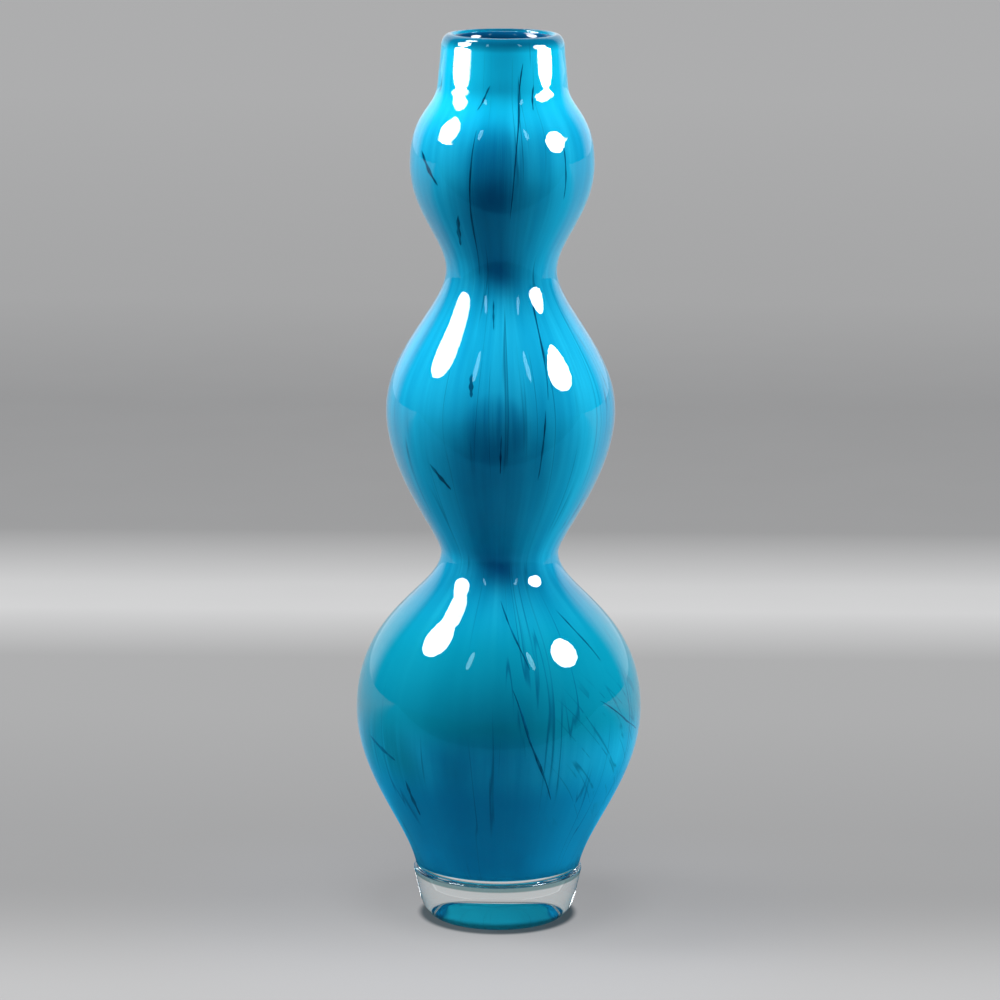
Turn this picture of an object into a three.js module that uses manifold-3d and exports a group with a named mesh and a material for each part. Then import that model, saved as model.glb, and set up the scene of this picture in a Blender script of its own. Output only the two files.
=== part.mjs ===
// Triple gourd vase of blown cased glass, standing on its foot. Millimetres, +Z up.
// The origin is the centre of the face that the vase rests on, and -Y is its front.
// A turquoise cup, inlaid with dark streaks, lies inside a clear casing on a clear foot.
import * as THREE from 'three';
import { mergeVertices } from 'three/addons/utils/BufferGeometryUtils.js';
import Module from 'manifold-3d';

// Clear foot, solid, with a ground hollow under it where the pontil rod was broken off
const FOOT_HEIGHT = 20.7;
const FOOT_TOP_DIAMETER = 69;
const FOOT_TAPER = 4.4; // how far the side draws in from the top edge to the resting face
const FOOT_EDGE_ROUND = 2.4;
const FOOT_TOP_EDGE_ROUND = 2.2;
const FOOT_LEDGE = 1.2; // how far the foot's top edge stands out past the casing
const GROUND_HOLLOW_DIAMETER = 50;
const GROUND_HOLLOW_DEPTH = 10.6;
const GROUND_HOLLOW_CROWN = 0.72; // how far out the hollow's crown runs level, as a share of its radius
const GROUND_HOLLOW_FLANK = 0.6; // where its flank leaves the crown, as a share of radius and depth

// Outer outline of the casing, from the foot up: each rise is from the station below it
const LOW_BELLY_DIAMETER = 115.6;
const LOW_BELLY_RISE = 66.2;
const LOWER_WAIST_DIAMETER = 47.4;
const LOWER_WAIST_RISE = 64;
const MIDDLE_BELLY_DIAMETER = 91.9;
const MIDDLE_BELLY_RISE = 58.5;
const UPPER_WAIST_DIAMETER = 44.3;
const UPPER_WAIST_RISE = 56.3;
const TOP_BELLY_DIAMETER = 73.4;
const TOP_BELLY_RISE = 42.5;
const NECK_DIAMETER = 51.6;
const NECK_RISE = 31.4;
const LIP_DIAMETER = 48.9;
const LIP_RISE = 15.1;

// How long the outline runs straight past each station and below the next, as shares of the rise
// between them, and how far it leans out of the upright at the foot and in along the neck
const FLANK_LEAN = 0.19;
const NECK_LEAN = 0.075;
const FLANK_START = 0.264;
const LOW_BELLY_UNDERSIDE = 0.412;
const LOW_BELLY_SHOULDER = 0.615;
const LOWER_WAIST_UNDERSIDE = 0.245;
const LOWER_WAIST_TOPSIDE = 0.126;
const MIDDLE_BELLY_UNDERSIDE = 0.458;
const MIDDLE_BELLY_SHOULDER = 0.43;
const UPPER_WAIST_UNDERSIDE = 0.25;
const UPPER_WAIST_TOPSIDE = 0.285;
const TOP_BELLY_UNDERSIDE = 0.45;
const TOP_BELLY_SHOULDER = 0.645;
const NECK_UNDERSIDE = 0.3;
const NECK_TOPSIDE = 0.545;
const LIP_UNDERSIDE = 0.6;

// Glass layers
const CASING_WALL = 3;
const CASING_FLOOR = 1.2;
const CUP_WALL = 2.6;
const CUP_FLOOR = 4;
const CUP_CORNER_ROUND = 7; // outside corner of the cup's floor
const HOLLOW_CORNER_ROUND = 12; // inside corner of the cup's floor
const LIP_OUTER_ROUND = 5; // height of the rounding on the casing's side of the lip
const LIP_INNER_ROUND = 4; // height of the rounding on the cup's side of the lip
const LAYER_GAP = 0.3; // clearance between glass pieces that lie against each other

// Dark streaks, laid flush into the cup's outside
const STREAK_DEPTH = 0.8;
const STREAK_END_SHARE = 0.35; // width of a streak's ends, as a share of its full width
const STREAK_SPARE = 2; // how far the streak's blank reaches past the surface before trimming
const FINE_STREAK_WIDTH = 1.5;
const BROAD_STREAK_WIDTH = 2.2;

// Facets
const ROUND_SEGMENTS = 30;
const FACET_TURN = 0.39; // turn of the outline along one facet, in radians, with its length's share
const FACET_LENGTH = 65; // length of outline that counts as one radian of turn
const ARC_STEPS = 4;

// Streaks run along the outline from one station to another: 0 is the foot, 1 the low belly,
// 2 the lower waist, 3 the middle belly, 4 the upper waist, 5 the top belly, 6 the neck and
// 7 the lip. Bearings are degrees round from the front at the lower and the upper end.
const STREAKS = [
  { name: 'top_streak_1', from: 4.02, to: 5.42, bearings: [-26, -19], width: FINE_STREAK_WIDTH },
  { name: 'top_streak_2', from: 5.73, to: 6.1, bearings: [-22, -12], width: FINE_STREAK_WIDTH },
  { name: 'top_streak_3', from: 4.61, to: 6.8, bearings: [6, 21], width: FINE_STREAK_WIDTH },
  { name: 'top_streak_4', from: 5.73, to: 6.1, bearings: [27, 31], width: FINE_STREAK_WIDTH },
  { name: 'top_streak_5', from: 4.78, to: 5.22, bearings: [46.5, 45], width: FINE_STREAK_WIDTH },
  { name: 'top_streak_6', from: 4.89, to: 5.13, bearings: [-47, -65], width: BROAD_STREAK_WIDTH },
  { name: 'top_streak_7', from: 4.32, to: 4.64, bearings: [-42, -34], width: BROAD_STREAK_WIDTH },
  { name: 'top_streak_8', from: 4.5, to: 5.6, bearings: [150, 161], width: FINE_STREAK_WIDTH },
  { name: 'top_streak_9', from: 4.2, to: 4.9, bearings: [215, 208], width: BROAD_STREAK_WIDTH },
  { name: 'middle_streak_1', from: 3.16, to: 3.93, bearings: [26, 34], width: FINE_STREAK_WIDTH },
  { name: 'middle_streak_2', from: 2.71, to: 3.1, bearings: [22, 24], width: FINE_STREAK_WIDTH },
  { name: 'middle_streak_3', from: 3.61, to: 3.82, bearings: [-6, -8], width: FINE_STREAK_WIDTH },
  { name: 'middle_streak_4', from: 3.18, to: 3.32, bearings: [-16, -17.5], width: BROAD_STREAK_WIDTH },
  { name: 'middle_streak_5', from: 2.75, to: 2.97, bearings: [0, 0.5], width: FINE_STREAK_WIDTH },
  { name: 'middle_streak_6', from: 2.64, to: 2.78, bearings: [-31, -42], width: BROAD_STREAK_WIDTH },
  { name: 'middle_streak_7', from: 2.6, to: 3.4, bearings: [140, 151], width: FINE_STREAK_WIDTH },
  { name: 'middle_streak_8', from: 3.05, to: 3.8, bearings: [203, 192], width: FINE_STREAK_WIDTH },
  { name: 'low_streak_1', from: 1.29, to: 1.72, bearings: [14.5, 1], width: FINE_STREAK_WIDTH },
  { name: 'low_streak_2', from: 0.63, to: 1.2, bearings: [25, 6], width: BROAD_STREAK_WIDTH },
  { name: 'low_streak_3', from: 1.28, to: 1.62, bearings: [54.5, 42], width: FINE_STREAK_WIDTH },
  { name: 'low_streak_4', from: 0.92, to: 1.11, bearings: [78, 47.5], width: FINE_STREAK_WIDTH },
  { name: 'low_streak_5', from: 0.82, to: 0.91, bearings: [-49, -66], width: BROAD_STREAK_WIDTH },
  { name: 'low_streak_6', from: 0.48, to: 0.71, bearings: [-44, -45.5], width: BROAD_STREAK_WIDTH },
  { name: 'low_streak_7', from: 0.6, to: 1.3, bearings: [166, 150], width: FINE_STREAK_WIDTH },
  { name: 'low_streak_8', from: 0.9, to: 1.7, bearings: [224, 240], width: FINE_STREAK_WIDTH },
  { name: 'low_streak_9', from: 0.5, to: 1.0, bearings: [112, 100], width: BROAD_STREAK_WIDTH },
];

const CLEAR_GLASS = { color: 0xdfeef0, roughness: 0.04, metalness: 0 };
const TURQUOISE_GLASS = { color: 0x0595c4, roughness: 0.08, metalness: 0 };
const DARK_GLASS = { color: 0x03202f, roughness: 0.12, metalness: 0 };

const wasm = await Module();
wasm.setup();

const at = (r, z) => new THREE.Vector2(r, z);

// Closed geometry to solid and back
function toSolid(geometry) {
  const bare = geometry.clone();
  bare.deleteAttribute('normal');
  bare.deleteAttribute('uv');
  const merged = mergeVertices(bare, 1e-4);
  const corners = merged.index.array;
  const triVerts = [];
  for (let i = 0; i < corners.length; i += 3) {
    const [a, b, c] = corners.slice(i, i + 3);
    if (a !== b && b !== c && c !== a) triVerts.push(a, b, c);
  }
  return new wasm.Manifold(new wasm.Mesh({
    numProp: 3,
    vertProperties: new Float32Array(merged.attributes.position.array),
    triVerts: new Uint32Array(triVerts),
  }));
}

function toGeometry(solid) {
  const mesh = solid.getMesh();
  const geometry = new THREE.BufferGeometry();
  geometry.setAttribute('position', new THREE.BufferAttribute(mesh.vertProperties, mesh.numProp));
  geometry.setIndex(new THREE.BufferAttribute(mesh.triVerts, 1));
  geometry.computeVertexNormals();
  return geometry;
}

// A profile of (radius, height) points, from the axis round and back to it, turned about Z
const turn = (profile) => new THREE.LatheGeometry(profile, ROUND_SEGMENTS).rotateX(Math.PI / 2);

// A quarter of an ellipse between two profile points: upright at the first, level at the second
function quarterRound(upright, level) {
  const corner = at(upright.x, level.y);
  const k = 0.5523; // handle length that makes a cubic curve a quarter ellipse
  const curve = new THREE.CubicBezierCurve(
    upright, upright.clone().lerp(corner, k), level.clone().lerp(corner, k), level);
  return curve.getPoints(ARC_STEPS);
}

// A rounded corner of a profile between two straight stretches
function roundedCorner(start, corner, end) {
  return new THREE.QuadraticBezierCurve(start, corner, end).getPoints(ARC_STEPS);
}

// Stations of the casing's outer outline
const casingBase = FOOT_HEIGHT + LAYER_GAP;
const rises = [LOW_BELLY_RISE, LOWER_WAIST_RISE, MIDDLE_BELLY_RISE, UPPER_WAIST_RISE,
  TOP_BELLY_RISE, NECK_RISE, LIP_RISE];
const diameters = [FOOT_TOP_DIAMETER - 2 * FOOT_LEDGE, LOW_BELLY_DIAMETER, LOWER_WAIST_DIAMETER,
  MIDDLE_BELLY_DIAMETER, UPPER_WAIST_DIAMETER, TOP_BELLY_DIAMETER, NECK_DIAMETER, LIP_DIAMETER];
const runsAbove = [FLANK_START, LOW_BELLY_SHOULDER, LOWER_WAIST_TOPSIDE, MIDDLE_BELLY_SHOULDER,
  UPPER_WAIST_TOPSIDE, TOP_BELLY_SHOULDER, NECK_TOPSIDE];
const runsBelow = [LOW_BELLY_UNDERSIDE, LOWER_WAIST_UNDERSIDE, MIDDLE_BELLY_UNDERSIDE,
  UPPER_WAIST_UNDERSIDE, TOP_BELLY_UNDERSIDE, NECK_UNDERSIDE, LIP_UNDERSIDE];
const leans = [FLANK_LEAN, 0, 0, 0, 0, 0, -NECK_LEAN, -NECK_LEAN];
const stations = [at(diameters[0] / 2, casingBase)];
rises.forEach((rise, i) => stations.push(at(diameters[i + 1] / 2, stations[i].y + rise)));
const lipStation = stations[stations.length - 1];
const crestHeight = lipStation.y + LIP_OUTER_ROUND;

// One curve between each two stations
const spans = rises.map((rise, i) => {
  const [lower, upper] = [stations[i], stations[i + 1]];
  const above = runsAbove[i] * rise;
  const below = runsBelow[i] * rise;
  return new THREE.CubicBezierCurve(
    lower, at(lower.x + leans[i] * above, lower.y + above),
    at(upper.x - leans[i + 1] * below, upper.y - below), upper);
});

// The outline's point at a station number, moved in from the casing's outside by a depth
function outlineAt(station, depth) {
  const i = Math.min(Math.floor(station), spans.length - 1);
  const along = spans[i].getTangent(station - i);
  return spans[i].getPoint(station - i).addScaledVector(at(along.y, -along.x), -depth);
}

// Station numbers of a span's facet edges: close together where the outline turns sharply
function facetEdges(span, first) {
  const samples = 200;
  const travelled = [0];
  for (let i = 1; i <= samples; i += 1) {
    const [from, to] = [(i - 1) / samples, i / samples];
    const turned = Math.abs(span.getTangent(to).angleTo(span.getTangent(from)));
    const moved = span.getPoint(to).distanceTo(span.getPoint(from));
    travelled.push(travelled[i - 1] + turned + moved / FACET_LENGTH);
  }
  const steps = Math.max(2, Math.round(travelled[samples] / FACET_TURN));
  return Array.from({ length: steps }, (_, step) => {
    const goal = travelled[samples] * step / steps;
    return first + travelled.findIndex((distance) => distance >= goal) / samples;
  });
}

const facetStations = [...spans.flatMap((span, i) => facetEdges(span, i)), spans.length];

// The whole outline at a depth, in facets from the foot to the lip
const outline = (depth) => facetStations.map((station) => outlineAt(station, depth));

// The outline at a depth, closed by a floor at a height with a rounded corner
function flooredOutline(depth, floor, cornerRound) {
  const flank = outline(depth);
  const rising = flank.filter((point) => point.y > floor + cornerRound);
  const first = rising[0];
  const lean = (rising[1].x - first.x) / (rising[1].y - first.y);
  const corner = at(first.x - lean * (first.y - floor), floor);
  const start = at(corner.x - cornerRound, floor);
  return [at(0, floor), ...roundedCorner(start, corner, first), ...rising.slice(1)];
}

// Depths and heights of the layers
const casingInside = CASING_WALL;
const cupOutside = casingInside + LAYER_GAP;
const cupInside = cupOutside + CUP_WALL;
const casingFloor = casingBase + CASING_FLOOR;
const cupBase = casingFloor + LAYER_GAP;
const cupFloor = cupBase + CUP_FLOOR;
const cupFacets = outline(cupOutside);

function clearFoot() {
  const topRadius = FOOT_TOP_DIAMETER / 2;
  const baseRadius = topRadius - FOOT_TAPER;
  const side = at(topRadius, FOOT_HEIGHT).sub(at(baseRadius, 0)).normalize();
  const baseCorner = at(baseRadius, 0);
  const topCorner = at(topRadius, FOOT_HEIGHT);
  const hollowRadius = GROUND_HOLLOW_DIAMETER / 2;
  const groundHollow = new THREE.CubicBezierCurve(
    at(0, GROUND_HOLLOW_DEPTH), at(hollowRadius * GROUND_HOLLOW_CROWN, GROUND_HOLLOW_DEPTH),
    at(hollowRadius * GROUND_HOLLOW_FLANK, GROUND_HOLLOW_DEPTH * GROUND_HOLLOW_FLANK),
    at(hollowRadius, 0));
  return turn([
    ...groundHollow.getPoints(ARC_STEPS + 1),
    ...roundedCorner(at(baseRadius - FOOT_EDGE_ROUND, 0), baseCorner,
      baseCorner.clone().addScaledVector(side, FOOT_EDGE_ROUND)),
    ...roundedCorner(topCorner.clone().addScaledVector(side, -FOOT_TOP_EDGE_ROUND), topCorner,
      at(topRadius - FOOT_TOP_EDGE_ROUND, FOOT_HEIGHT)),
    at(0, FOOT_HEIGHT),
  ]);
}

function clearCasing() {
  const inside = flooredOutline(casingInside, casingFloor, CUP_CORNER_ROUND + LAYER_GAP);
  const crest = at(lipStation.x - casingInside, crestHeight);
  return turn([
    at(0, casingBase),
    ...outline(0),
    ...quarterRound(lipStation, crest).slice(1),
    ...inside.reverse(),
  ]);
}

// The cup's outside, up to the flat where it meets the crest of the lip
function cupOuterProfile() {
  const outside = flooredOutline(cupOutside, cupBase, CUP_CORNER_ROUND);
  return [...outside, at(lipStation.x - cupOutside, crestHeight)];
}

function turquoiseCup() {
  const inside = flooredOutline(cupInside, cupFloor, HOLLOW_CORNER_ROUND);
  const crest = at(lipStation.x - cupOutside, crestHeight);
  const mouth = at(lipStation.x - cupInside, crestHeight - LIP_INNER_ROUND);
  const lip = quarterRound(mouth, crest).reverse().slice(1);
  const wall = inside.filter((point) => point.y < mouth.y).reverse();
  return turn([...cupOuterProfile(), ...lip, ...wall]);
}

// Station numbers where a streak's ribbon bends: its ends and the edges of the outline's facets
function bends(from, to) {
  const between = facetStations.filter((station) => station > from && station < to);
  return [from, ...(between.length ? between : [(from + to) / 2]), to];
}

// The cup's outside at a station number, on the facets of its outline
function cupFacetAt(station) {
  const next = facetStations.findIndex((edge) => edge > station);
  const [lower, upper] = [cupFacets[next - 1], cupFacets[next]];
  const share = (station - facetStations[next - 1]) / (facetStations[next] - facetStations[next - 1]);
  const along = upper.clone().sub(lower);
  const point = lower.clone().addScaledVector(along, share);
  return { point, outward: at(along.y, -along.x).normalize() };
}

// A ribbon along a streak, widened and deepened by a margin for its seat
function ribbon({ from, to, bearings, width }, margin) {
  const stops = bends(from, to).map((station) => {
    const share = (station - from) / (to - from);
    const { point, outward } = cupFacetAt(station);
    const bearing = THREE.MathUtils.degToRad(THREE.MathUtils.lerp(...bearings, share));
    const radial = new THREE.Vector3(Math.sin(bearing), -Math.cos(bearing), 0);
    const place = radial.clone().multiplyScalar(point.x).setZ(point.y);
    const normal = radial.clone().multiplyScalar(outward.x).setZ(outward.y);
    const fullness = STREAK_END_SHARE + (1 - STREAK_END_SHARE) * Math.sin(Math.PI * share);
    return { place, normal, halfWidth: width * fullness / 2 + margin };
  });
  const last = stops.length - 1;
  // The seat's ends reach past the streak's ends by the same margin
  for (const [end, next] of [[stops[0], stops[1]], [stops[last], stops[last - 1]]]) {
    const endwards = end.place.clone().sub(next.place).normalize();
    end.place.addScaledVector(endwards, margin);
  }
  const corners = stops.flatMap(({ place, normal, halfWidth }, i) => {
    const before = stops[Math.max(i - 1, 0)].place;
    const after = stops[Math.min(i + 1, last)].place;
    const across = after.clone().sub(before).cross(normal).normalize().multiplyScalar(halfWidth);
    const top = place.clone().addScaledVector(normal, STREAK_SPARE);
    const floor = place.clone().addScaledVector(normal, -STREAK_DEPTH - margin);
    return [top.clone().sub(across), top.clone().add(across), floor.clone().add(across),
      floor.clone().sub(across)];
  });
  return loft(corners, last);
}

// Four-cornered sections joined into a closed ribbon
function loft(corners, steps) {
  const faces = [0, 2, 1, 0, 3, 2];
  for (let i = 0; i < steps; i += 1) {
    for (let j = 0; j < 4; j += 1) {
      const a = 4 * i + j;
      const b = 4 * i + (j + 1) % 4;
      faces.push(a, b, a + 4, b, b + 4, a + 4);
    }
  }
  const last = 4 * steps;
  faces.push(last, last + 1, last + 2, last, last + 2, last + 3);
  const geometry = new THREE.BufferGeometry().setFromPoints(corners);
  geometry.setIndex(faces);
  return geometry;
}

function named(name, geometry, glass) {
  const mesh = new THREE.Mesh(geometry, new THREE.MeshStandardMaterial(glass));
  mesh.name = name;
  return mesh;
}

const vase = new THREE.Group();
vase.add(named('clear_foot', clearFoot(), CLEAR_GLASS));
vase.add(named('clear_casing', clearCasing(), CLEAR_GLASS));

// Each streak is trimmed flush with the cup's outside, and the cup is cut to seat it
const cupBlank = toSolid(turn([...cupOuterProfile(), at(0, crestHeight)]));
let cup = toSolid(turquoiseCup());
for (const streak of STREAKS) {
  const piece = toSolid(ribbon(streak, 0)).intersect(cupBlank);
  vase.add(named(streak.name, toGeometry(piece), DARK_GLASS));
  cup = cup.subtract(toSolid(ribbon(streak, LAYER_GAP)));
}
vase.add(named('turquoise_cup', toGeometry(cup), TURQUOISE_GLASS));

export default vase;
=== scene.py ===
from math import pi, radians, sin

import bmesh
import bpy
from mathutils import Euler, Matrix, Vector
from mathutils.geometry import interpolate_bezier


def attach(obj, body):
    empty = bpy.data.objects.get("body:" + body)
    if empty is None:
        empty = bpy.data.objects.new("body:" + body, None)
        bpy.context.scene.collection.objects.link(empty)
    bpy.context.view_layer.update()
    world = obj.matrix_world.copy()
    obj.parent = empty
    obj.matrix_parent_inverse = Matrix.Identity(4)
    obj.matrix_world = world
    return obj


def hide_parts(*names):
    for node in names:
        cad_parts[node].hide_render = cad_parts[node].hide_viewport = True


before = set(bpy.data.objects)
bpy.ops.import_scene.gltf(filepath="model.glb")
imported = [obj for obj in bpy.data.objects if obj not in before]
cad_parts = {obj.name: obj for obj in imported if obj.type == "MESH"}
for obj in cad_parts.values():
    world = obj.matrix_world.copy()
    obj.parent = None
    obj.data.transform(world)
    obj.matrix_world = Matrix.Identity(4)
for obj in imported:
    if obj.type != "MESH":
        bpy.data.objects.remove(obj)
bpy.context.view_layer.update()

MM = 0.001

# Sizes of the glass, in millimetres. They are those of the solids, but for the foot's lower edge
# and its ledge, which are rounder here.
FOOT_HEIGHT = 20.7
FOOT_TOP_RADIUS = 34.5
FOOT_TAPER = 4.4
FOOT_EDGE_IN = 4.8
FOOT_EDGE_UP = 10.0
FOOT_LEDGE = 1.2
FOOT_LEDGE_ROUND = 1.5
GROUND_HOLLOW_RADIUS = 25.0
GROUND_HOLLOW_DEPTH = 10.6
GROUND_HOLLOW_CROWN = 0.72  # handle at the hollow's top, as a share of its radius
GROUND_HOLLOW_FLANK = 0.6  # handle towards its rim, as a share of its radius and depth
CASING_WALL = 3.0
CASING_FLOOR = 0.3
CASING_CORNER_ROUND = 0.5
CUP_WALL = 2.6
CUP_FLOOR = 4.0
CUP_CORNER_ROUND = 7.0
HOLLOW_CORNER_ROUND = 12.0
LIP_OUTER_ROUND = 5.0
LIP_INNER_ROUND = 4.0
CLEAR_CREST_DEPTH = 3.45  # how far in from the lip's outside its clear crest lies
CUP_CREST_DEPTH = 4.55  # how far in the crest of the turquoise lies
CUP_CREST_DROP = 1.1  # how far below the clear crest it lies
LAYER_GAP = 0.3
CUP_DEPTH = CASING_WALL + LAYER_GAP  # how far in from the outer outline the cup's outside lies

# How the two glasses meet, in millimetres
MELT = 0.2  # how far the clear glass reaches into the cup, so that no air shows between them
CLEAR_BROW_REACH = 0.3  # how far outside the seam the clear lip turns down to it
CLEAR_WALL_STOP = 1.0  # how far below the lip's station the clear wall's inside ends
CUP_BROW_DROP = 0.5  # how far below the lip's station the turquoise lip starts
CUP_WALL_STOP = 0.2  # how far below that the cup's outside wall ends

# Stations of the outer outline from the foot up: radius, height above the station below, how far
# the curve runs straight below it and above it, as shares of the rises on those sides, and how far
# it leans out there for each unit of height
STATIONS = [
    (FOOT_TOP_RADIUS - FOOT_LEDGE, FOOT_HEIGHT + LAYER_GAP, 0.0, 0.264, 0.19),
    (57.8, 66.2, 0.412, 0.615, 0.0),
    (23.7, 64.0, 0.245, 0.126, 0.0),
    (45.95, 58.5, 0.458, 0.43, 0.0),
    (22.15, 56.3, 0.25, 0.285, 0.0),
    (36.7, 42.5, 0.45, 0.645, 0.0),
    (25.8, 31.4, 0.30, 0.545, -0.075),
    (24.45, 15.1, 0.60, 0.0, -0.075),
]

# Dark streaks: name, the stations it runs from and to, its bearings there in degrees round from
# the front, and its width. 0 is the foot, 1 the low belly, 2 the lower waist, 3 the middle belly,
# 4 the upper waist, 5 the top belly, 6 the neck and 7 the lip.
FINE, BROAD = 0.65, 1.6
STREAKS = [
    ("top_streak_1", 4.02, 5.42, -26.0, -19.0, FINE),
    ("top_streak_2", 5.73, 6.10, -22.0, -12.0, FINE),
    ("top_streak_3", 4.61, 6.80, 6.0, 21.0, FINE),
    ("top_streak_4", 5.73, 6.10, 27.0, 31.0, FINE),
    ("top_streak_5", 4.78, 5.22, 46.5, 45.0, FINE),
    ("top_streak_6", 4.89, 5.13, -47.0, -65.0, BROAD),
    ("top_streak_7", 4.32, 4.64, -42.0, -34.0, BROAD),
    ("top_streak_8", 4.50, 5.60, 150.0, 161.0, FINE),
    ("top_streak_9", 4.20, 4.90, 215.0, 208.0, BROAD),
    ("middle_streak_1", 3.16, 3.93, 26.0, 34.0, FINE),
    ("middle_streak_2", 2.71, 3.10, 22.0, 24.0, FINE),
    ("middle_streak_3", 3.61, 3.82, -6.0, -8.0, FINE),
    ("middle_streak_4", 3.18, 3.32, -16.0, -17.5, BROAD),
    ("middle_streak_5", 2.75, 2.97, 0.0, 0.5, FINE),
    ("middle_streak_6", 2.64, 2.78, -31.0, -42.0, BROAD),
    ("middle_streak_7", 2.60, 3.40, 140.0, 151.0, FINE),
    ("middle_streak_8", 3.05, 3.80, 203.0, 192.0, FINE),
    ("low_streak_1", 1.29, 1.72, 14.5, 1.0, FINE),
    ("low_streak_2", 0.63, 1.20, 25.0, 6.0, 1.0),
    ("low_streak_3", 1.28, 1.62, 54.5, 42.0, FINE),
    ("low_streak_4", 0.92, 1.11, 78.0, 47.5, FINE),
    ("low_streak_5", 0.82, 0.91, -49.0, -66.0, BROAD),
    ("low_streak_6", 0.48, 0.71, -44.0, -45.5, BROAD),
    ("low_streak_7", 0.60, 1.30, 166.0, 150.0, FINE),
    ("low_streak_8", 0.90, 1.70, 224.0, 240.0, FINE),
    ("low_streak_9", 0.50, 1.00, 112.0, 100.0, BROAD),
]
STREAK_PROUD = 0.12  # how far a streak stands out of the cup's surface into the clear glass
STREAK_SIDES = 8
STREAK_TIP = 0.12  # width of a streak's ends, as a share of its full width
STREAK_SWELL = 0.6  # how soon it swells from its ends: a lower number is sooner
STREAK_LEAST_STEPS = 8
STREAK_STEPS = 34  # further steps for each span of the outline that it runs
STREAK_CORNER = radians(60)
FEELER = 0.01  # how far to both sides a streak's direction is felt out, as a share of its run
SWAYS = [0.12, 0.20, 0.28, 0.36]  # how far streaks sway by turns, in degrees for each span they run
SWAY_BENDS, SWAY_START = 8.0, 5.0  # waves of the sway in radians: along a streak, and by its sway
UNEVENNESS = 0.3  # how much a streak's width comes and goes
UNEVEN_BENDS, UNEVEN_START = 17.0, 9.0  # waves of the width, in the same way

# Smoothness of the turned pieces
SPAN_POINTS = 34
ARC_POINTS = 14
TURN_STEPS = 144
QUARTER_HANDLE = 0.5523  # handle that bends a curve to a quarter of an ellipse
CORNER_HANDLE = 0.6  # handle of the other rounded corners
SHARP_CORNER = radians(35)
SAME_POINT = 1e-7  # metres within which points are merged
SAME_EDGE = 1e-8  # metres within which an edge is too short to keep

# Camera, from the perspective of the photograph
CAMERA_DISTANCE = 1.720
CAMERA_HEIGHT = 0.526
CAMERA_PITCH = radians(11.617)
CAMERA_ROLL = radians(0.37)
FOCAL_PIXELS = 4362.0
PICTURE_PIXELS = 1000.0
SENSOR = 36.0


def at(radius, height):
    return Vector((radius, 0.0, height))


def outer_spans():
    """The curves of the outer outline between its stations, as four control points each."""
    places, height = [], 0.0
    for radius, rise, *_ in STATIONS:
        height += rise
        places.append(at(radius, height))
    spans = []
    for i in range(len(STATIONS) - 1):
        lower, upper = places[i], places[i + 1]
        rise = STATIONS[i + 1][1]
        above, below = STATIONS[i][3] * rise, STATIONS[i + 1][2] * rise
        lower_lean, upper_lean = STATIONS[i][4], STATIONS[i + 1][4]
        spans.append((lower, lower + at(lower_lean * above, above),
                      upper - at(upper_lean * below, below), upper))
    return spans


SPANS = outer_spans()
LIP_STATION = SPANS[-1][3]
CREST = LIP_STATION.z + LIP_OUTER_ROUND
CASING_CORNER = SPANS[0][0]
CUP_BASE = CASING_CORNER.z + CASING_FLOOR + LAYER_GAP


def along_span(span, share):
    """Point and outward direction on a span's curve at a share of its run."""
    a, b, c, d = span
    k = 1.0 - share
    point = a * k**3 + b * (3 * k * k * share) + c * (3 * k * share * share) + d * share**3
    slope = (b - a) * (k * k) + (c - b) * (2 * k * share) + (d - c) * (share * share)
    return point, Vector((slope.z, 0.0, -slope.x)).normalized()


def outline_at(station, depth):
    """Point of the outline at a station, moved in by a depth, and the outward direction there."""
    i = min(int(station), len(SPANS) - 1)
    point, outward = along_span(SPANS[i], station - i)
    return point - outward * depth, outward


def outline(depth):
    """The whole outline, from the foot to the lip, moved in from the outside by a depth."""
    count = len(SPANS) * SPAN_POINTS
    return [outline_at(i / SPAN_POINTS, depth)[0] for i in range(count + 1)]


def quarter_round(upright, level):
    """A quarter ellipse: upright at its first end, level at its second."""
    corner = at(upright.x, level.z)
    return interpolate_bezier(upright, upright.lerp(corner, QUARTER_HANDLE),
                              level.lerp(corner, QUARTER_HANDLE), level, ARC_POINTS)


def rounded_corner(start, corner, end):
    return interpolate_bezier(start, start.lerp(corner, CORNER_HANDLE),
                              end.lerp(corner, CORNER_HANDLE), end, ARC_POINTS)


def floored_outline(depth, floor, corner_round):
    """The outline at a depth, closed by a floor with a rounded corner."""
    rising = [point for point in outline(depth) if point.z > floor + corner_round]
    first, second = rising[0], rising[1]
    lean = (second.x - first.x) / (second.z - first.z)
    corner = at(first.x - lean * (first.z - floor), floor)
    start = at(corner.x - corner_round, floor)
    return [at(0.0, floor)] + rounded_corner(start, corner, first) + rising[1:]


def finished(name, bm, sharp_corner=SHARP_CORNER):
    """A piece's object from its bmesh, at the origin, with smooth shading between its corners."""
    mesh = bpy.data.meshes.new(name)
    bm.to_mesh(mesh)
    bm.free()
    for face in mesh.polygons:
        face.use_smooth = True
    mesh.set_sharp_from_angle(angle=sharp_corner)
    piece = bpy.data.objects.new(name, mesh)
    bpy.context.scene.collection.objects.link(piece)
    return piece


def turned(name, profile):
    """A solid of revolution about the vase's axis from a profile in millimetres."""
    bm = bmesh.new()
    verts = [bm.verts.new(point * MM) for point in profile]
    edges = [bm.edges.new(pair) for pair in zip(verts, verts[1:])]
    bmesh.ops.spin(bm, geom=verts + edges, axis=(0, 0, 1), cent=(0, 0, 0), steps=TURN_STEPS,
                   angle=2 * pi, use_merge=True)
    bmesh.ops.remove_doubles(bm, verts=bm.verts, dist=SAME_POINT)
    bmesh.ops.dissolve_degenerate(bm, edges=bm.edges, dist=SAME_EDGE)
    bmesh.ops.recalc_face_normals(bm, faces=bm.faces)
    return finished(name, bm)


# Pieces of glass

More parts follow.
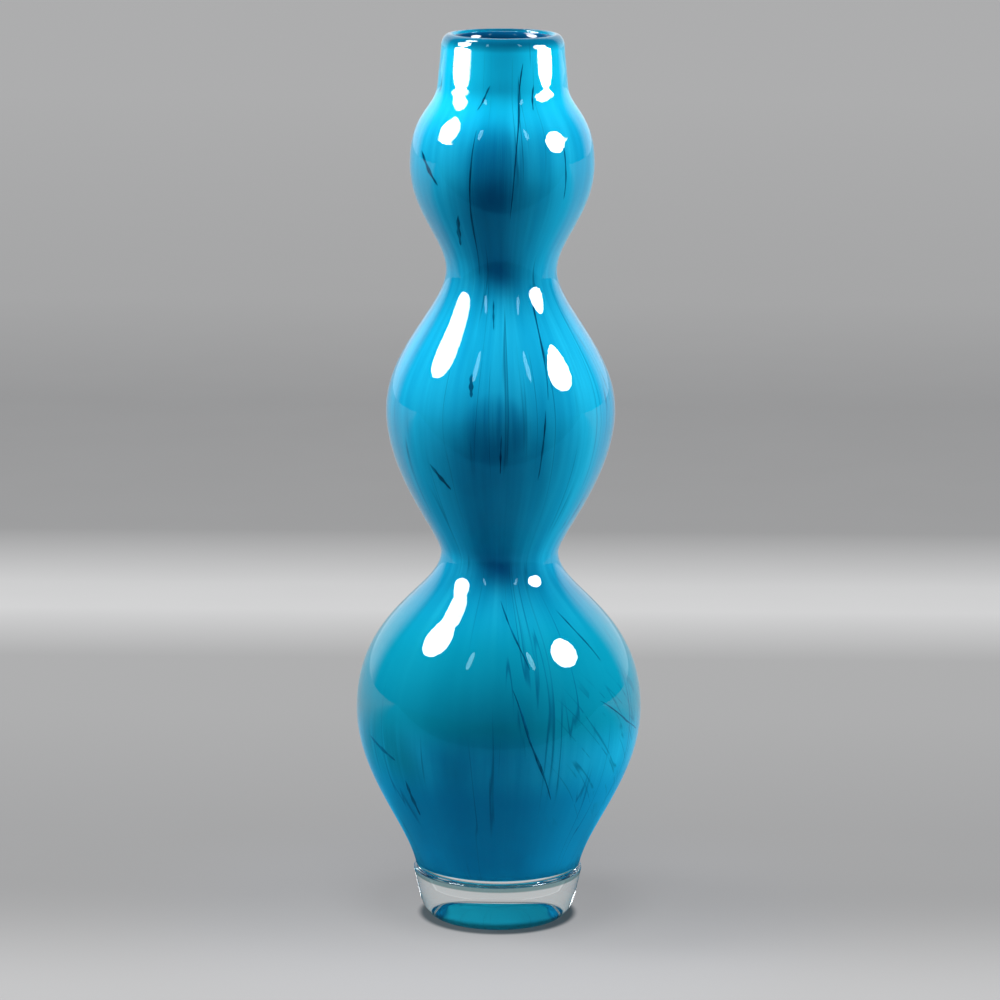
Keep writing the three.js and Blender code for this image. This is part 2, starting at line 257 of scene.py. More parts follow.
def clear_foot_side():
    """The foot's profile from the middle of its ground hollow out and up to its ledge."""
    base_corner = at(FOOT_TOP_RADIUS - FOOT_TAPER, 0.0)
    top_corner = at(FOOT_TOP_RADIUS, FOOT_HEIGHT)
    side = (top_corner - base_corner).normalized()
    crown = at(GROUND_HOLLOW_RADIUS * GROUND_HOLLOW_CROWN, GROUND_HOLLOW_DEPTH)
    flank = at(GROUND_HOLLOW_RADIUS, GROUND_HOLLOW_DEPTH) * GROUND_HOLLOW_FLANK
    hollow = interpolate_bezier(at(0.0, GROUND_HOLLOW_DEPTH), crown, flank,
                                at(GROUND_HOLLOW_RADIUS, 0.0), 2 * ARC_POINTS)
    edge = rounded_corner(base_corner - at(FOOT_EDGE_IN, 0.0), base_corner,
                          base_corner + side * FOOT_EDGE_UP)
    ledge = rounded_corner(top_corner - side * FOOT_LEDGE_ROUND, top_corner,
                           at(FOOT_TOP_RADIUS - FOOT_LEDGE_ROUND, FOOT_HEIGHT))
    return hollow + edge + ledge


def clear_body():
    """Casing and foot, which are one run of clear glass on the real vase."""
    flank = [point for point in outline(0.0) if point.z > CASING_CORNER.z + CASING_CORNER_ROUND]
    groove = rounded_corner(CASING_CORNER - at(CASING_CORNER_ROUND, 0.0), CASING_CORNER, flank[0])
    crest = at(LIP_STATION.x - CLEAR_CREST_DEPTH, CREST)
    lip = quarter_round(LIP_STATION, crest)
    seam = at(LIP_STATION.x - CUP_CREST_DEPTH - MELT, CREST - CUP_CREST_DROP - MELT)
    brow = rounded_corner(crest, at(seam.x + CLEAR_BROW_REACH, CREST), seam)
    inside = floored_outline(CUP_DEPTH + MELT, CUP_BASE + MELT, CUP_CORNER_ROUND)
    inside = [point for point in inside if point.z < LIP_STATION.z - CLEAR_WALL_STOP]
    casing = groove + flank[1:] + lip[1:] + brow[1:] + inside[::-1]
    return turned("clear_glass_body", clear_foot_side() + casing)


def turquoise_cup():
    outside = floored_outline(CUP_DEPTH, CUP_BASE, CUP_CORNER_ROUND)
    inside = floored_outline(CUP_DEPTH + CUP_WALL, CUP_BASE + CUP_FLOOR, HOLLOW_CORNER_ROUND)
    crest = at(LIP_STATION.x - CUP_CREST_DEPTH, CREST - CUP_CREST_DROP)
    brow = LIP_STATION - at(CUP_DEPTH, CUP_BROW_DROP)
    mouth = at(LIP_STATION.x - CUP_DEPTH - CUP_WALL, CREST - LIP_INNER_ROUND)
    outer_lip = quarter_round(brow, crest)
    inner_lip = quarter_round(mouth, crest)[::-1]
    shell = [point for point in outside if point.z < brow.z - CUP_WALL_STOP]
    wall = [point for point in inside if point.z < mouth.z]
    return turned("turquoise_glass_cup", shell + outer_lip + inner_lip[1:] + wall[::-1])


def streak_section(start, end, lower_bearing, upper_bearing, width, share, sway):
    """Where a streak's section stands: its axes across, out and along, and its middle."""
    places = []
    for step in (-FEELER, 0.0, FEELER):
        along = share + step
        point, outward = outline_at(start + (end - start) * along, CUP_DEPTH)
        bearing = lower_bearing + (upper_bearing - lower_bearing) * along
        bearing += sway * sin(SWAY_BENDS * along + SWAY_START * sway)
        turn = Matrix.Rotation(radians(bearing) - pi / 2, 3, "Z")
        places.append((turn @ point, turn @ outward))
    middle, outward = places[1]
    forward = (places[2][0] - places[0][0]).normalized()
    across = forward.cross(outward).normalized()
    fullness = STREAK_TIP + (1.0 - STREAK_TIP) * sin(pi * share) ** STREAK_SWELL
    uneven = 1.0 + UNEVENNESS * sin(UNEVEN_BENDS * share + UNEVEN_START * sway)
    half_width, half_height = width / 2 * fullness * uneven, STREAK_PROUD * fullness
    axes = Matrix((across * half_width, outward * half_height, forward)).transposed().to_4x4()
    return Matrix.Translation(middle * MM) @ Matrix.Scale(MM, 4) @ axes


def dark_streak(name, start, end, lower_bearing, upper_bearing, width, sway):
    """A thread of dark glass melted into the cup's surface, flat, uneven and pointed at its ends."""
    steps = STREAK_LEAST_STEPS + round(STREAK_STEPS * (end - start))
    sections = [streak_section(start, end, lower_bearing, upper_bearing, width, i / steps, sway)
                for i in range(steps + 1)]
    bm = bmesh.new()
    rim = bmesh.ops.create_circle(bm, cap_ends=True, segments=STREAK_SIDES, radius=1.0)["verts"]
    bmesh.ops.transform(bm, matrix=sections[0], verts=rim)
    tip = bm.faces[:]
    for before, after in zip(sections, sections[1:]):
        first = before is sections[0]
        grown = bmesh.ops.extrude_face_region(bm, geom=tip, use_keep_orig=first)["geom"]
        tip = [part for part in grown if isinstance(part, bmesh.types.BMFace)]
        rim = [part for part in grown if isinstance(part, bmesh.types.BMVert)]
        bmesh.ops.transform(bm, matrix=after @ before.inverted(), verts=rim)
    bmesh.ops.recalc_face_normals(bm, faces=bm.faces)
    return finished(name + "_thread", bm, STREAK_CORNER)


# Shader maths

class Wire:
    """A shader socket that Python's operators work on: each operator adds a Math node."""

    def __init__(self, tree, socket=None):
        self.tree, self.socket = tree, socket

    def node(self, kind, settings=(), sockets=(), output=0):
        """Adds a node of any kind: its settings first, then its sockets' values or links."""
        node = self.tree.nodes.new(kind)
        for name, value in dict(settings).items():
            if name == "stops":
                self.set_stops(node.color_ramp, value)
            else:
                setattr(node, name, value)
        for name, value in dict(sockets).items():
            if isinstance(value, Wire):
                self.tree.links.new(value.socket, node.inputs[name])
            else:
                node.inputs[name].default_value = value
        return Wire(self.tree, node.outputs[output]) if node.outputs else None

    @staticmethod
    def set_stops(ramp, stops):
        while len(ramp.elements) < len(stops):
            ramp.elements.new(1.0)
        for element, (place, tint) in zip(ramp.elements, stops):
            element.position = place
            element.color = tint

    def sister(self, output):
        """Another output of the same node."""
        return Wire(self.tree, self.socket.node.outputs[output])

    def maths(self, operation, *values):
        return self.node("ShaderNodeMath", {"operation": operation}, enumerate(values))

    def __add__(self, other):
        return self.maths("ADD", self, other)

    __radd__ = __add__

    def __sub__(self, other):
        return self.maths("SUBTRACT", self, other)

    def __rsub__(self, other):
        return self.maths("SUBTRACT", other, self)

    def __mul__(self, other):
        return self.maths("MULTIPLY", self, other)

    __rmul__ = __mul__

    def __truediv__(self, other):
        return self.maths("DIVIDE", self, other)

    def __pow__(self, other):
        return self.maths("POWER", self, other)

    def __abs__(self):
        return self.maths("ABSOLUTE", self)


def colour(red, green, blue):
    return (red, green, blue, 1.0)


def new_material(name):
    material = bpy.data.materials.new(name)
    material.use_nodes = True
    material.node_tree.nodes.clear()
    return material, Wire(material.node_tree)


def mix_colours(share, first, second):
    """Two colours mixed: a Mix node has its colours at inputs 6 and 7, and their mix at output 2."""
    return share.node("ShaderNodeMix", {"data_type": "RGBA"}, {0: share, 6: first, 7: second}, 2)


def mix_shaders(share, first, second):
    return share.node("ShaderNodeMixShader", (), {0: share, 1: first, 2: second})


def smooth_step(value, start, full):
    """Nothing where a value is at its start, rising smoothly to one where it is full."""
    return value.node("ShaderNodeMapRange", {"interpolation_type": "SMOOTHSTEP"}, {
        "Value": value, "From Min": start, "From Max": full})


def thin_line(value, level, width):
    """One along the line where a value crosses a level, fading to nothing at a width from it."""
    return value.node("ShaderNodeMapRange", {"interpolation_type": "SMOOTHSTEP"}, {
        "Value": abs(value - level), "From Min": 0.0, "From Max": width,
        "To Min": 1.0, "To Max": 0.0})


def object_axes(wire):
    """A piece's own coordinates, as one vector and as x, y and z."""
    place = wire.node("ShaderNodeTexCoord", output="Object")
    x = wire.node("ShaderNodeSeparateXYZ", (), {0: place})
    return place, x, x.sister(1), x.sister(2)


def from_axis(x, y):
    return (x * x + y * y) ** 0.5


def vase_coordinates(wire):
    """Bearing on a unit circle, bearing in radians from the front, and height in metres."""
    _, x, y, z = object_axes(wire)
    radius = from_axis(x, y)
    return x / radius, y / radius, x.maths("ARCTAN2", x, y * -1.0), z


def meridian_noise(east, north, height, turns, rise, detail, roughness=0.55, warp=0.0):
    """Noise that is drawn out along the height, as colour is when the gather is blown. It has its
    own fineness round the vase and up its height."""
    vector = east.node("ShaderNodeCombineXYZ", (), {
        0: east * turns, 1: north * turns, 2: height * rise})
    return east.node("ShaderNodeTexNoise", (), {
        "Vector": vector, "Scale": 1.0, "Detail": detail, "Roughness": roughness,
        "Distortion": warp})


# In the pairs below a colour starts at the first number and is full at the second. Levels are in
# metres up the vase, and strengths say how much of what lies under a colour it covers.

# Clear glass
CLEAR_TINT = colour(0.97, 0.99, 0.985)
# Painted shade: dark tints along the foot's lower edge and under its ledge
FOOT_EDGE_PAINTED_SHADE = colour(0.03, 0.10, 0.11)
FOOT_EDGE_SHADE_LEVELS = (0.0050, 0.0025)
LEDGE_PAINTED_SHADE = colour(0.12, 0.26, 0.27)
LEDGE_LOWER_LEVELS = (0.0176, 0.0184)
LEDGE_UPPER_LEVELS = (0.0210, 0.0202)
GLASS_IOR = 1.5
WAVE_FINENESS, WAVE_STRENGTH, WAVE_HEIGHT = 22.0, 0.05, 0.004


def clear_glass():
    """Clear fire-polished glass with the faint waviness of hand work. Painted shade darkens it along
    the foot's lower edge and under its ledge. Light reaches the colour under it straight, as shadow
    and diffuse rays pass it."""
    material, wire = new_material("clear_glass")
    place, _, _, height = object_axes(wire)
    wave = wire.node("ShaderNodeTexNoise", (), {
        "Vector": place, "Scale": WAVE_FINENESS, "Detail": 1.0})
    bump = wire.node("ShaderNodeBump", (), {
        "Strength": WAVE_STRENGTH, "Distance": WAVE_HEIGHT, "Height": wave})
    # painted shade along the foot's lower edge and under its ledge
    foot_edge_shade = smooth_step(height, *FOOT_EDGE_SHADE_LEVELS)
    ledge = smooth_step(height, *LEDGE_LOWER_LEVELS) * smooth_step(height, *LEDGE_UPPER_LEVELS)
    tint = mix_colours(foot_edge_shade, CLEAR_TINT, FOOT_EDGE_PAINTED_SHADE)
    tint = mix_colours(ledge, tint, LEDGE_PAINTED_SHADE)
    glass = wire.node("ShaderNodeBsdfPrincipled", (), {
        "Base Color": tint, "Roughness": 0.0, "IOR": GLASS_IOR,
        "Transmission Weight": 1.0, "Normal": bump})
    clear = wire.node("ShaderNodeBsdfTransparent", (), {"Color": colour(1.0, 1.0, 1.0)})
    shadow_ray = wire.node("ShaderNodeLightPath", output="Is Shadow Ray")
    diffuse_ray = wire.node("ShaderNodeLightPath", output="Is Diffuse Ray")
    lit = mix_shaders(shadow_ray, glass, clear)
    seen = mix_shaders(diffuse_ray, lit, clear)
    wire.node("ShaderNodeOutputMaterial", (), {"Surface": seen})
    return material


# Turquoise glass: its clouds, and the strokes drawn through them
CLOUDS = {"turns": 2.2, "rise": 7.0, "detail": 3.0}
CLOUD_COLOURS = [
    (0.32, colour(0.003, 0.250, 0.420)),
    (0.50, colour(0.008, 0.385, 0.590)),
    (0.68, colour(0.014, 0.470, 0.680)),
]
STROKES = {"turns": 11.0, "rise": 9.0, "detail": 4.0, "roughness": 0.6, "warp": 0.4}
STROKE_RANGE = (0.30, 0.62)
STROKE_STRENGTH = 0.4
STROKE_COLOUR = colour(0.001, 0.270, 0.480)

# Zones of colour up the cup: the levels of their edges, their strength and their colour. First
# the teal of the low shoulder, the neck and lip made paler by painted light and the lip's edge
# darkened by painted shade, which lie under the patches, then a deeper blue low down, painted
# shade under the low belly, and the cup's underside made bright by painted light, which lie over
# them.
ZONES_UNDER_PATCHES = [
    (((0.150, 0.115), (0.076, 0.092)), 0.8, colour(0.001, 0.240, 0.318)),
    # painted light: neck and lip paler
    (((0.318, 0.345),), 0.7, colour(0.006, 0.600, 0.840)),
    # painted shade: the lip's edge dark
    (((0.3540, 0.3575),), 0.85, colour(0.001, 0.085, 0.170)),
]
ZONES_OVER_PATCHES = [
    # painted shade: deeper blue under the low belly
    (((0.076, 0.058),), 0.8, colour(0.001, 0.215, 0.425)),
    # painted light: the cup's underside bright, as seen through the foot
    (((0.0225, 0.0215),), 1.0, colour(0.020, 0.780, 1.000)),
]

# Dark patches, two on the front and one on the left: bearing in radians, level, half their width
# in radians, half their height and their colour. The two on the front of the top and middle
# bellies are partly darker glass and partly painted shade. They are stronger where the strokes are.
DARK_PATCHES_AND_PAINTED_SHADE = [
    (-0.08, 0.3105, 0.42, 0.019, colour(0.001, 0.150, 0.310)),
    (-0.04, 0.2095, 0.34, 0.015, colour(0.001, 0.150, 0.310)),
    (-1.00, 0.0700, 0.50, 0.026, colour(0.001, 0.170, 0.215)),
]
PATCH_EDGE = (1.0, 0.1)  # squared distance from a patch's middle, where one is its rim
PATCH_LEAST, PATCH_IN_STROKES = 0.25, 0.5

# Hair lines along the glass, in tufts
HAIRS = {"turns": 4.2, "rise": 5.0, "detail": 2.5, "roughness": 0.5, "warp": 0.25}
HAIR_WIDTH = 0.012
HAIR_TUFTS = {"turns": 3.0, "rise": 16.0, "detail": 1.0}
HAIR_TUFT_SHIFT = 3.0
HAIR_TUFT_RANGE = (0.48, 0.60)
HAIR_STRENGTH = 0.7
HAIR_COLOUR = colour(0.001, 0.095, 0.190)
NOISE_MIDDLE = 0.5

# Twig-like cracks low on the right. They lean over, and are long and fine.
TWIG_RADIUS = 0.05  # makes a length of a bearing
TWIG_LEAN_COS, TWIG_LEAN_SIN = 0.77, 0.64
TWIG_LENGTH_FINENESS, TWIG_WIDTH_FINENESS = 13.0, 170.0
TWIG_NOISE = {"Scale": 1.0, "Detail": 2.0, "Roughness": 0.4, "Distortion": 0.12}
TWIG_WIDTH = 0.030
TWIG_BREAKS = {"turns": 7.0, "rise": 75.0, "detail": 2.0}
TWIG_BREAK_RANGE = (0.42, 0.52)
TWIG_BEARING, TWIG_BEARING_REACH = 0.92, (0.62, 0.30)
TWIG_LEVEL, TWIG_LEVEL_REACH = 0.078, (0.036, 0.016)
TWIG_STRENGTH = 0.65
TWIG_COLOUR = colour(0.001, 0.120, 0.200)

# Inside of the cup, which faces the axis and is darkened with painted shade, and the finish of
# the coloured glass
INSIDE_FACING = (0.0, -0.5)
INSIDE_PAINTED_SHADE = colour(0.001, 0.065, 0.150)
INSIDE_GLOSS_ROUGHNESS = 0.05
COLOURED_ROUGHNESS = 0.4


def painted_zones(body, height, zones):
    for edges, strength, tint in zones:
        share = strength
        for levels in edges:
            share = smooth_step(height, *levels) * share
        body = mix_colours(share, body, tint)
    return body


def hair_lines(east, north, height):
    hairs = meridian_noise(east, north, height, **HAIRS)
    tufts = meridian_noise(east, north, height + HAIR_TUFT_SHIFT, **HAIR_TUFTS)
    return thin_line(hairs, NOISE_MIDDLE, HAIR_WIDTH) * smooth_step(tufts, *HAIR_TUFT_RANGE)


def twig_cracks(wire, east, north, bearing, height):
    around = bearing * TWIG_RADIUS
    along = height * TWIG_LEAN_COS - around * TWIG_LEAN_SIN
    aside = height * TWIG_LEAN_SIN + around * TWIG_LEAN_COS
    lean = wire.node("ShaderNodeCombineXYZ", (), {
        0: along * TWIG_LENGTH_FINENESS, 1: aside * TWIG_WIDTH_FINENESS, 2: north})
    twigs = wire.node("ShaderNodeTexNoise", (), {"Vector": lean, **TWIG_NOISE})
    breaks = meridian_noise(east, north, height, **TWIG_BREAKS)
    side = smooth_step(abs(bearing - TWIG_BEARING), *TWIG_BEARING_REACH)
    low = smooth_step(abs(height - TWIG_LEVEL), *TWIG_LEVEL_REACH)
    lines = thin_line(twigs, NOISE_MIDDLE, TWIG_WIDTH)
    return lines * smooth_step(breaks, *TWIG_BREAK_RANGE) * side * low


def turquoise_glass():
    """Opaque turquoise, drawn out in strokes, in zones up the vase and with dark patches,
    hair lines along it and twig-like cracks. Some zones are painted light and shade, and the patches
    on the front are partly painted shade. The inside of the cup is glossy, and dark with painted
    shade."""
    material, wire = new_material("turquoise_glass")
    east, north, bearing, height = vase_coordinates(wire)
    clouds = meridian_noise(east, north, height, **CLOUDS)
    body = wire.node("ShaderNodeValToRGB", {"stops": CLOUD_COLOURS}, {"Fac": clouds})
    strokes = smooth_step(meridian_noise(east, north, height, **STROKES), *STROKE_RANGE)
    body = mix_colours(strokes * STROKE_STRENGTH, body, STROKE_COLOUR)
    body = painted_zones(body, height, ZONES_UNDER_PATCHES)
    # Dark patches, those on the front partly painted shade
    for middle, level, half_width, half_height, tint in DARK_PATCHES_AND_PAINTED_SHADE:
        across = (bearing - middle) / half_width
        up = (height - level) / half_height
        patch = smooth_step(across * across + up * up, *PATCH_EDGE)
        body = mix_colours(patch * (PATCH_LEAST + strokes * PATCH_IN_STROKES), body, tint)
    body = painted_zones(body, height, ZONES_OVER_PATCHES)
    hairs = hair_lines(east, north, height)
    body = mix_colours(hairs * HAIR_STRENGTH, body, HAIR_COLOUR)
    cracks = twig_cracks(wire, east, north, bearing, height)
    body = mix_colours(cracks * TWIG_STRENGTH, body, TWIG_COLOUR)

    faces = wire.node("ShaderNodeTexCoord", output="Normal")
    outward = wire.node("ShaderNodeCombineXYZ", (), {0: east, 1: north})
    facing = wire.node("ShaderNodeVectorMath", {"operation": "DOT_PRODUCT"},
                       {0: faces, 1: outward}, "Value")
    inside = smooth_step(facing, *INSIDE_FACING)
    # Painted shade: the inside of the cup darkened
    body = mix_colours(inside, body, INSIDE_PAINTED_SHADE)
    surface = wire.node("ShaderNodeBsdfPrincipled", (), {
        "Base Color": body, "Roughness": COLOURED_ROUGHNESS, "Specular IOR Level": 0.0,
        "Coat Weight": inside, "Coat Roughness": INSIDE_GLOSS_ROUGHNESS})
    wire.node("ShaderNodeOutputMaterial", (), {"Surface": surface})
    return material


# Dark glass
THIN_SPOTS = {"turns": 14.0, "rise": 90.0, "detail": 3.0}
DARK_COLOURS = [
    (0.38, colour(0.001, 0.045, 0.100)),
    (0.68, colour(0.001, 0.165, 0.290)),
]


def dark_glass():
    """Blue-black threads that thin out here and there to deep blue."""
    material, wire = new_material("dark_glass")
    east, north, _, height = vase_coordinates(wire)
    thin = meridian_noise(east, north, height, **THIN_SPOTS)
    tint = wire.node("ShaderNodeValToRGB", {"stops": DARK_COLOURS}, {"Fac": thin})
    surface = wire.node("ShaderNodeBsdfPrincipled", (), {
        "Base Color": tint, "Roughness": COLOURED_ROUGHNESS, "Specular IOR Level": 0.0})
    wire.node("ShaderNodeOutputMaterial", (), {"Surface": surface})
    return material


# Floor: its tones by distance before and behind the vase, where one stands for the reach. The
# tones are painted light and shade on plain paper: a bright band far behind the vase, and paper
# paler towards the front.
FLOOR_RADIUS, FLOOR_SIDES = 7.0, 64
FLOOR_REACH = 4.0
# painted light and shade: a bright band far behind the vase
FLOOR_TONES = [
    (0.0, colour(0.42, 0.42, 0.422)),
    (0.03, colour(0.42, 0.42, 0.422)),
    (0.08, colour(0.48, 0.48, 0.48)),
    (0.11, colour(0.49, 0.49, 0.49)),
    (0.137, colour(0.78, 0.78, 0.78)),
    (0.152, colour(0.74, 0.74, 0.74)),
    (0.188, colour(0.385, 0.385, 0.386)),
    (0.29, colour(0.36, 0.36, 0.362)),
    (0.40, colour(0.45, 0.45, 0.45)),
    (0.75, colour(0.505, 0.505, 0.505)),
]
GRAIN_FINENESS, GRAIN_DETAIL, GRAIN_STRENGTH = 14.0, 5.0, 0.12
GRAIN_TONE = colour(0.50, 0.50, 0.505)
# Painted light: paper paler towards the front
FRONT_TONE = colour(0.64, 0.64, 0.643)
FRONT_START, FRONT_END = (0.04, -0.12), (-0.5, -0.3)  # places before the vase, along y
NEAR_VASE = (0.18, 0.08)  # distances from the vase's axis
MATT_TONE = colour(0.04, 0.04, 0.04)
MATT_STRENGTH, MATT_LESS_NEAR_VASE = 0.85, 0.58
PAPER_ROUGHNESS = 0.7
SEEN_SHARE = 0.8  # how much of the floor's look is its own tone. The rest is lit and shaded.
SEEN_LESS_NEAR_VASE = 0.16
BLACK = colour(0.0, 0.0, 0.0)
THROUGH_TONE, THROUGH_STRENGTH = colour(0.85, 0.85, 0.85), 0.4
# Painted shadow: the paper darkened under the foot and just round it
UNDER_FOOT = (0.0335, 0.0300)  # distances from the vase's axis
PAINTED_FOOT_SHADOW_TONE, PAINTED_FOOT_SHADOW_STRENGTH = colour(0.01, 0.03, 0.035), 0.95

# What mirror rays find on the floor: a blue table top, dark by the foot, grey behind, and its front
# edge with the dark beyond it
TABLE_BLUE, TABLE_BY_FOOT = colour(0.02, 0.42, 0.72), colour(0.02, 0.07, 0.09)
TABLE_FROM_FOOT = (0.06, 0.12)
TABLE_BACK, TABLE_BACK_START = colour(0.5, 0.5, 0.5), (0.05, 0.35)
TABLE_FRONT, TABLE_FRONT_EDGE = colour(0.0, 0.01, 0.015), (-0.262, -0.268)


def ray_kinds(wire):
    """One where a surface is seen by the camera, in a mirror image, or through glass."""
    seen = wire.node("ShaderNodeLightPath", output="Is Camera Ray")
    through = seen.sister("Is Transmission Ray")
    return seen, seen.sister("Is Glossy Ray") * (1.0 - through), through


def paper_tone(place, y):
    away = abs(y) / FLOOR_REACH
    tone = y.node("ShaderNodeValToRGB", {"stops": FLOOR_TONES}, {"Fac": away})
    grain = y.node("ShaderNodeTexNoise", (), {
        "Vector": place, "Scale": GRAIN_FINENESS, "Detail": GRAIN_DETAIL})
    tone = mix_colours(grain * GRAIN_STRENGTH, tone, GRAIN_TONE)
    # painted light: paler paper towards the front
    front = smooth_step(y, *FRONT_START) * smooth_step(y, *FRONT_END)
    return mix_colours(front, tone, FRONT_TONE)


def mirrored_table(distance, y):
    table = mix_colours(smooth_step(distance, *TABLE_FROM_FOOT), TABLE_BY_FOOT, TABLE_BLUE)
    table = mix_colours(smooth_step(y, *TABLE_BACK_START), table, TABLE_BACK)
    return mix_colours(smooth_step(y, *TABLE_FRONT_EDGE), table, TABLE_FRONT)


def pale_paper():
    """Paper that the camera sees, also through glass, mostly in painted tones of light and shade,
    with a painted shadow under the foot, and for the rest lit, with the vase's shadow. Away from the
    vase the lit paper is dark, so that little light comes up from it. Mirror rays find a table top
    in its place."""
    material, wire = new_material("pale_paper")
    place, x, y, _ = object_axes(wire)
    distance = from_axis(x, y)
    tone = paper_tone(place, y)
    near = smooth_step(distance, *NEAR_VASE)
    matt = mix_colours(MATT_STRENGTH - near * MATT_LESS_NEAR_VASE, tone, MATT_TONE)
    paper = wire.node("ShaderNodeBsdfPrincipled", (), {
        "Base Color": matt, "Roughness": PAPER_ROUGHNESS})
    seen, mirrored, through = ray_kinds(wire)
    shown = mix_colours(near * SEEN_LESS_NEAR_VASE, tone, BLACK)
    shown = mix_colours(through * THROUGH_STRENGTH, shown, THROUGH_TONE)
    # painted shadow under the foot
    painted_foot_shadow = smooth_step(distance, *UNDER_FOOT)
    shown = mix_colours(painted_foot_shadow * PAINTED_FOOT_SHADOW_STRENGTH, shown, PAINTED_FOOT_SHADOW_TONE)
    glow = wire.node("ShaderNodeEmission", (), {"Color": shown, "Strength": 1.0})
    lit = mix_shaders((seen + through) * SEEN_SHARE, paper, glow)
    table = mirrored_table(distance, y)
    image = wire.node("ShaderNodeEmission", (), {"Color": table, "Strength": 1.0})
    whole = mix_shaders(mirrored, lit, image)
    wire.node("ShaderNodeOutputMaterial", (), {"Surface": whole})
    material.cycles.emission_sampling = "NONE"
    return material


def pale_floor():
    """A wide plain floor of pale paper."""
    bm = bmesh.new()
    bmesh.ops.create_circle(bm, cap_ends=True, segments=FLOOR_SIDES, radius=FLOOR_RADIUS)
    floor = finished("pale_floor", bm)
    floor.data.materials.append(pale_paper())


# Lamps that light the glass: name, place and power. They all face the middle of the vase.
MIDDLE = (0.0, 0.0, 0.20)
SHADING_LAMP_SIZE = 0.4
SHADING_LAMPS = [
    ("top_lamp", (0.0, -0.31, 1.36), 14.0),
    ("right_lamp", (0.77, 0.0, 1.12), 3.0),
    ("right_low_lamp", (1.16, 0.10, 0.18), 13.0),
    ("left_lamp", (-0.76, 0.0, 1.13), 10.0),
    ("left_low_lamp", (-1.14, 0.20, 0.41), 6.5),
]

# Windows that show as highlights: name, place, what they face, width, height, power, colour and
# how widely they shine. The neck's windows shine narrowly, to stay off the belly under it.
WHITE, PALE_BLUE = (1.0, 1.0, 1.0), (0.5, 0.9, 1.0)
WIDE, NARROW = radians(180.0), radians(46.0)
WINDOWS = [
    ("right_window", (0.40, -0.12, 0.472), (0.0, 0.0, 0.32), 0.22, 0.20, 3.2, WHITE, WIDE),
    ("left_window", (-0.40, -0.06, 0.553), (0.0, 0.0, 0.35), 0.23, 0.25, 3.8, WHITE, WIDE),
    ("left_high_window", (-0.80, 0.07, 1.42), (0.0, 0.0, 0.12), 0.44, 0.42, 10.5, WHITE, WIDE),
    ("left_slit", (-0.37, -0.58, 0.85), MIDDLE, 0.065, 0.26, 0.24, PALE_BLUE, WIDE),
    ("right_slit", (0.40, -0.56, 0.85), MIDDLE, 0.065, 0.26, 0.24, PALE_BLUE, WIDE),
    ("right_neck_window", (0.09, -0.027, 0.3545), (0.0, -0.02, 0.354), 0.050, 0.028, 0.0225,
     WHITE, NARROW),
    ("left_neck_window", (-0.09, -0.033, 0.353), (0.0, -0.02, 0.352), 0.066, 0.028, 0.029,
     WHITE, NARROW),
]

# Room
ROOM_LIGHT, ROOM_STRENGTH = colour(0.02, 0.25, 1.0), 0.20
WALL_TONE = colour(0.50, 0.50, 0.505)
BRIGHT_WALL, BRIGHT_WALL_START = colour(1.0, 1.0, 1.0), (0.50, 0.74)


def soft_lamp(name, place, aim, width, height, power):
    """A soft oval lamp at a place, facing another."""
    light = bpy.data.lights.new(name, "AREA")
    light.shape = "ELLIPSE"
    light.size = width
    light.size_y = height
    light.energy = power
    lamp = bpy.data.objects.new(name, light)
    lamp.location = place
    lamp.rotation_euler = (Vector(place) - Vector(aim)).to_track_quat("Z", "Y").to_euler()
    lamp.visible_camera = False
    bpy.context.scene.collection.objects.link(lamp)
    return lamp


def shading_lamp(name, place, power):
    """A lamp that lights the glass and leaves no image of itself in it."""
    lamp = soft_lamp(name, place, MIDDLE, SHADING_LAMP_SIZE, SHADING_LAMP_SIZE, power)
    lamp.visible_glossy = False


def window(name, place, aim, width, height, power, tint, spread):
    """A lamp that shows as a bright image in the glass and lights nothing else."""
    pane = soft_lamp(name, place, aim, width, height, power)
    pane.data.color = tint
    pane.data.spread = spread
    pane.visible_diffuse = False


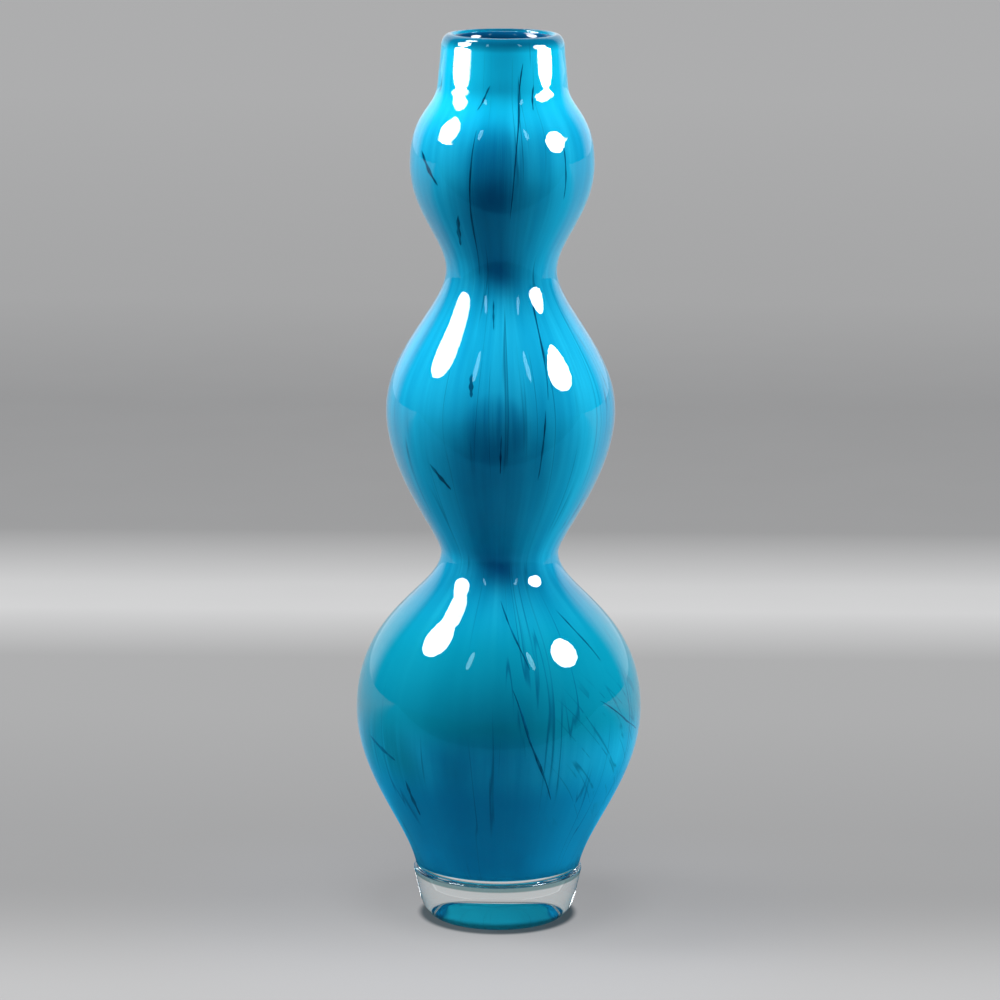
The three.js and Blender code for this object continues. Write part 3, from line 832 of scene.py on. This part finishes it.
def room():
    """Dim blue light from the room. The camera sees a pale wall there, also through glass, and
    mirror rays find it white a good way round behind the vase."""
    world = bpy.data.worlds.new("room")
    bpy.context.scene.world = world
    world.use_nodes = True
    world.node_tree.nodes.clear()
    wire = Wire(world.node_tree)
    way = wire.node("ShaderNodeTexCoord", output="Generated")
    back = wire.node("ShaderNodeSeparateXYZ", (), {0: way}, 1)
    seen, mirrored, through = ray_kinds(wire)
    dim = wire.node("ShaderNodeBackground", (), {"Color": ROOM_LIGHT, "Strength": ROOM_STRENGTH})
    wall = wire.node("ShaderNodeBackground", (), {"Color": WALL_TONE, "Strength": 1.0})
    bright = wire.node("ShaderNodeBackground", (), {"Color": BRIGHT_WALL, "Strength": 1.0})
    shown = mix_shaders(seen + through, dim, wall)
    whole = mix_shaders(mirrored * smooth_step(back, *BRIGHT_WALL_START), shown, bright)
    wire.node("ShaderNodeOutputWorld", (), {"Surface": whole})


def camera():
    lens = bpy.data.cameras.new("camera")
    lens.sensor_width = SENSOR
    lens.lens = SENSOR * FOCAL_PIXELS / PICTURE_PIXELS
    lens.dof.use_dof = False
    eye = bpy.data.objects.new("camera", lens)
    eye.location = (0.0, -CAMERA_DISTANCE, CAMERA_HEIGHT)
    tilt = Euler((pi / 2 - CAMERA_PITCH, 0.0, 0.0)).to_matrix()
    roll = Euler((0.0, 0.0, CAMERA_ROLL)).to_matrix()
    eye.rotation_euler = (tilt @ roll).to_euler()
    bpy.context.scene.collection.objects.link(eye)
    bpy.context.scene.camera = eye


def dress(piece, material, slot, *nodes):
    """Gives a piece its material and puts it in the place of its nodes."""
    piece.data.materials.append(material)
    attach(piece, "root")
    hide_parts(*nodes)


camera()
pale_floor()
for lamp in SHADING_LAMPS:
    shading_lamp(*lamp)
for pane in WINDOWS:
    window(*pane)
room()

dress(clear_body(), clear_glass(), "clear_glass", "clear_casing", "clear_foot")
dress(turquoise_cup(), turquoise_glass(), "turquoise_glass", "turquoise_cup")
dark = dark_glass()
for number, streak in enumerate(STREAKS):
    name, start, end, *_ = streak
    sway = (end - start) * SWAYS[number % len(SWAYS)]
    dress(dark_streak(*streak, sway), dark, "dark_glass", name)

bpy.context.scene.view_settings.view_transform = "Standard"
